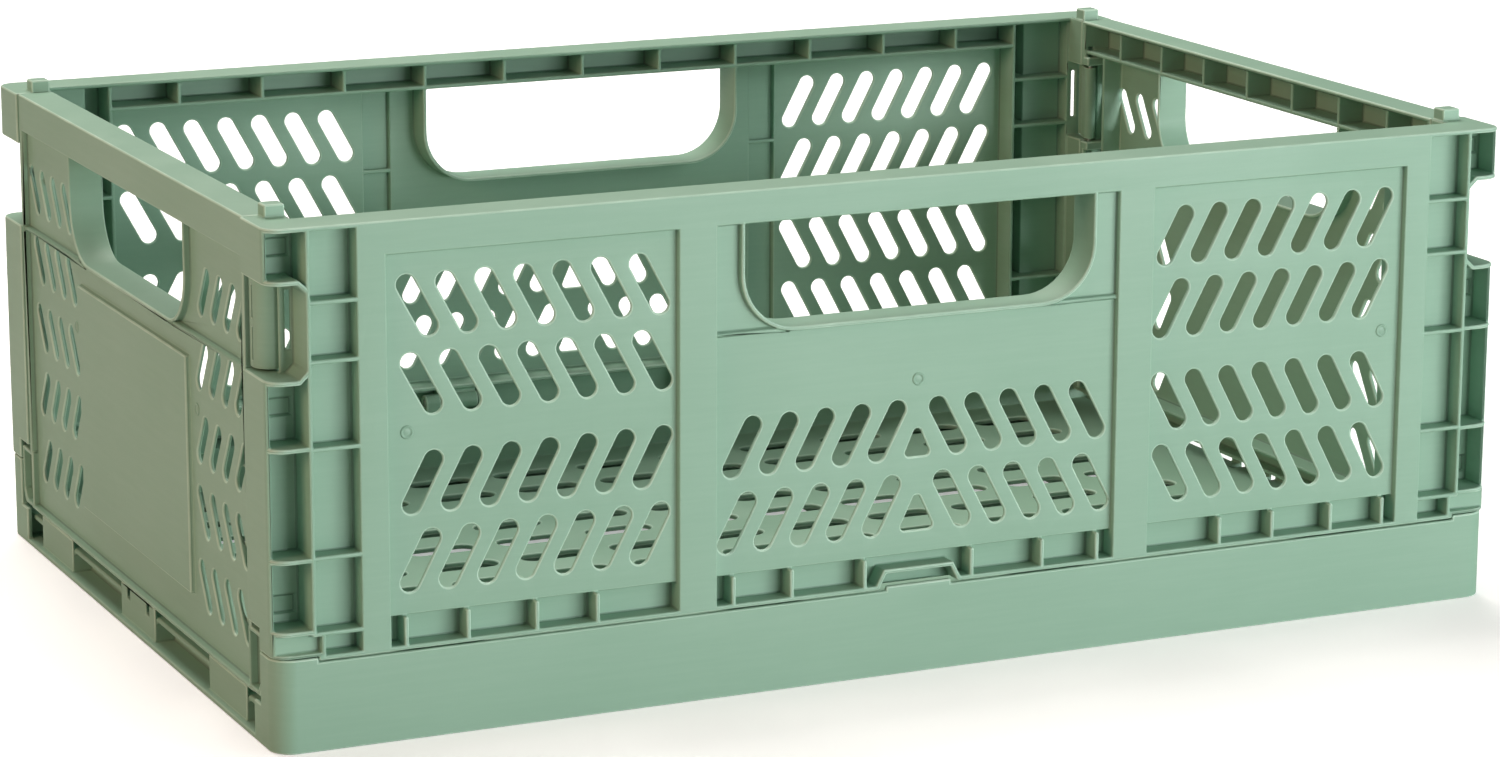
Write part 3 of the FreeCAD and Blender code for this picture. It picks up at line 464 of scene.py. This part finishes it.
def gate_marks(name, centres, outward, material, body):
    """Rings left by the mould's gates, all on one wall.

    Each is a profile of radius and height turned once round the outward axis: a low pip, a
    groove, a raised ring, and a flat underside just inside the panel.
    """
    look = settings("marks")
    radius, height = np.array(GATE_PROFILE).T * np.array([[look.gate / 2], [look.gate_height]])
    around = np.arange(RING_STEPS) * 2 * math.pi / RING_STEPS
    out = np.array(outward, float)
    side = np.cross((0.0, 0.0, 1.0), out)
    spoke = np.outer(np.cos(around), side) + np.outer(np.sin(around), (0.0, 0.0, 1.0))
    rings = radius[:, None, None] * spoke[None] + height[:, None, None] * out
    poles = np.array((height[0] * out, height[-1] * out))
    one = np.concatenate((rings.reshape(-1, 3), poles))
    points = (np.array(centres)[:, None, :] + one[None]).reshape(-1, 3)
    here = np.arange(RING_STEPS)
    after = (here + 1) % RING_STEPS
    row = np.arange(len(GATE_PROFILE) - 1)[:, None] * RING_STEPS
    inner, outer = row + here, row + RING_STEPS + here
    inner_after, outer_after = row + after, row + RING_STEPS + after
    last = (len(GATE_PROFILE) - 1) * RING_STEPS
    top, foot = np.full(RING_STEPS, len(one) - 2), np.full(RING_STEPS, len(one) - 1)
    faces = np.concatenate((
        np.stack((inner, outer, outer_after), -1).reshape(-1, 3),
        np.stack((inner, outer_after, inner_after), -1).reshape(-1, 3),
        np.stack((top, here, after), -1), np.stack((foot, last + after, last + here), -1)))
    faces = (faces[None] + (np.arange(len(centres)) * len(one))[:, None, None]).reshape(-1, 3)
    return surface(name, points, faces, material, body)


# ------------------------------------------------------------------ operators
def finish_mouldings(names, finish, width, **look):
    """Gives plastic nodes their material, and rounds their edges with a copy that paints edge highlight and
    crease shade.
    """
    flat = moulded_plastic("plastic_" + finish, **look)
    painted_edges = moulded_plastic("plastic_" + finish + "_edges", painted_edge_light=settings("edges").wear, **look)
    for name in names:
        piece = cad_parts[name]
        put_material(piece, flat)
        piece.data.materials.append(painted_edges)
        round_edges(piece, width, settings("edges").rounds, len(piece.material_slots) - 1)


class CRATE_OT_base_tray(bpy.types.Operator):
    """Round and finish the base tray."""
    bl_idname = "crate.base_tray"
    bl_label = "Base Tray"

    def execute(self, context):
        finish_mouldings(("base_tray",), "base_tray", settings("edges").wall, gloss=0.03, dust=0.09)
        return {"FINISHED"}


class CRATE_OT_long_walls(bpy.types.Operator):
    """Round and finish the two long walls."""
    bl_idname = "crate.long_walls"
    bl_label = "Long Walls"

    def execute(self, context):
        finish_mouldings(LONG_WALLS, "long_wall", settings("edges").wall)
        return {"FINISHED"}


class CRATE_OT_end_walls(bpy.types.Operator):
    """Round and finish the two end walls."""
    bl_idname = "crate.end_walls"
    bl_label = "End Walls"

    def execute(self, context):
        finish_mouldings(END_WALLS, "end_wall", settings("edges").wall, tint=0.99)
        return {"FINISHED"}


class CRATE_OT_latches(bpy.types.Operator):
    """Round and finish the four corner latches."""
    bl_idname = "crate.latches"
    bl_label = "Latches"

    def execute(self, context):
        finish_mouldings(LATCHES, "latch", settings("edges").latch, tint=0.97, gloss=-0.03)
        return {"FINISHED"}


class CRATE_OT_pins(bpy.types.Operator):
    """Chamfer and finish the steel hinge and latch pins."""
    bl_idname = "crate.pins"
    bl_label = "Pins"

    def execute(self, context):
        material = drawn_steel("steel_pin")
        for name in PINS:
            round_edges(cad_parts[name], settings("edges").pin, 1)
            put_material(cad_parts[name], material)
        return {"FINISHED"}


class CRATE_OT_gate_marks(bpy.types.Operator):
    """Add the gate marks of the mould to the panels of all four walls."""
    bl_idname = "crate.gate_marks"
    bl_label = "Gate Marks"

    def execute(self, context):
        material = moulded_plastic("plastic_gate_mark", tint=0.94, gloss=-0.06)
        for name, sign in (("front_wall", -1), ("back_wall", 1)):
            face = sign * (HIGH[1] - PANEL_SET_BACK)
            centres = [(across, face, GATE_UP) for across in (-GATE_ACROSS, 0.0, GATE_ACROSS)]
            gate_marks("gate_marks_" + name, centres, (0, sign, 0), material, "base")
        for name, sign, body in (("left_end_wall", -1, "left_end"), ("right_end_wall", 1, "right_end")):
            face = sign * (HIGH[0] - END_PANEL_SET_BACK)
            centres = [(face, along, END_GATE_UP) for along in (-END_GATE_ALONG, END_GATE_ALONG)]
            gate_marks("gate_marks_" + name, centres, (sign, 0, 0), material, body)
        return {"FINISHED"}


def stage_light(name, place, across, power, colour):
    """A rectangular area lamp at a place, facing the crate."""
    lamp = bpy.data.lights.new(name, "AREA")
    lamp.shape = "RECTANGLE"
    lamp.size, lamp.size_y = across
    lamp.energy = power
    lamp.color = colour
    holder = bpy.data.objects.new(name, lamp)
    holder.location = place
    holder.rotation_euler = (Vector(LAMP_TARGET) - Vector(place)).to_track_quat("-Z", "Y").to_euler()
    bpy.context.scene.collection.objects.link(holder)


class CRATE_OT_stage(bpy.types.Operator):
    """Set the floor, the lights and the camera."""
    bl_idname = "crate.stage"
    bl_label = "Stage"

    def execute(self, context):
        look = settings("stage")
        reach = look.floor_half
        corners = np.array([(-1, -1, 0), (1, -1, 0), (1, 1, 0), (-1, 1, 0)]) * reach
        corners[:, 2] = LOW[2]
        mesh = bpy.data.meshes.new("floor")
        mesh.from_pydata(corners.tolist(), [], [(0, 1, 2, 3)])
        floor = bpy.data.objects.new("floor", mesh)
        context.scene.collection.objects.link(floor)
        material, tree, shader, _ = start_material("floor_paper")
        seen = tree.nodes.new("ShaderNodeLightPath")
        direct = seen.outputs["Is Camera Ray"]
        bounced, shown = tuple(look.floor_bounce) + (1.0,), tuple(look.floor) + (1.0,)
        link(tree, blend_colour(tree, direct, bounced, shown), shader.inputs["Base Color"])
        shader.inputs["Emission Color"].default_value = WHITE
        link(tree, maths(tree, "MULTIPLY", direct, look.floor_lift), shader.inputs["Emission Strength"])
        shader.inputs["Roughness"].default_value = FLOOR_ROUGHNESS
        put_material(floor, material)
        world = bpy.data.worlds.new("surround")
        world.use_nodes = True
        backdrop = world.node_tree.nodes["Background"]
        backdrop.inputs["Color"].default_value = WHITE
        backdrop.inputs["Strength"].default_value = look.sky
        context.scene.world = world
        context.scene.view_settings.view_transform = "Standard"
        for lamp in LAMPS:
            stage_light(*lamp)
        camera = bpy.data.cameras.new("view")
        camera.lens = look.lens
        camera.sensor_width = SENSOR_WIDTH
        camera.clip_end = FARTHEST_SEEN
        holder = bpy.data.objects.new("view", camera)
        heading = Matrix.Rotation(math.radians(-CAMERA_HEADING), 4, "Z")
        level = Matrix.Rotation(math.radians(90.0 - CAMERA_DIP), 4, "X")
        roll = Matrix.Rotation(math.radians(CAMERA_ROLL), 4, "Z")
        holder.matrix_world = Matrix.Translation(CAMERA_PLACE) @ heading @ level @ roll
        context.scene.collection.objects.link(holder)
        context.scene.camera = holder
        return {"FINISHED"}


class CRATE_PT_looks(bpy.types.Panel):
    """Sizes, colours and steps of the crate's looks."""
    bl_idname = "CRATE_PT_looks"
    bl_label = "Folding Crate"
    bl_space_type = "VIEW_3D"
    bl_region_type = "UI"
    bl_category = "Crate"

    def draw(self, context):
        for name, group in SETTING_GROUPS:
            box = self.layout.box()
            box.label(text=name.capitalize())
            for prop in group.__annotations__:
                box.prop(settings(name), prop)
        for operator in OPERATORS:
            self.layout.operator(operator.bl_idname)


SETTING_GROUPS = (("plastic", CRATE_PG_plastic), ("edges", CRATE_PG_edges), ("marks", CRATE_PG_marks),
                  ("stage", CRATE_PG_stage))
OPERATORS = (CRATE_OT_base_tray, CRATE_OT_long_walls, CRATE_OT_end_walls, CRATE_OT_latches, CRATE_OT_pins,
             CRATE_OT_gate_marks, CRATE_OT_stage)


def register():
    for _, group in SETTING_GROUPS:
        bpy.utils.register_class(group)
    for name, group in SETTING_GROUPS:
        setattr(bpy.types.Scene, "crate_" + name, PointerProperty(type=group))
    for operator in OPERATORS:
        bpy.utils.register_class(operator)
    bpy.utils.register_class(CRATE_PT_looks)


def unregister():
    bpy.utils.unregister_class(CRATE_PT_looks)
    for operator in reversed(OPERATORS):
        bpy.utils.unregister_class(operator)
    for name, group in reversed(SETTING_GROUPS):
        delattr(bpy.types.Scene, "crate_" + name)
        bpy.utils.unregister_class(group)


def main():
    register()
    for operator in OPERATORS:
        family, action = operator.bl_idname.split(".")
        getattr(getattr(bpy.ops, family), action)()


if __name__ == "__main__":
    main()
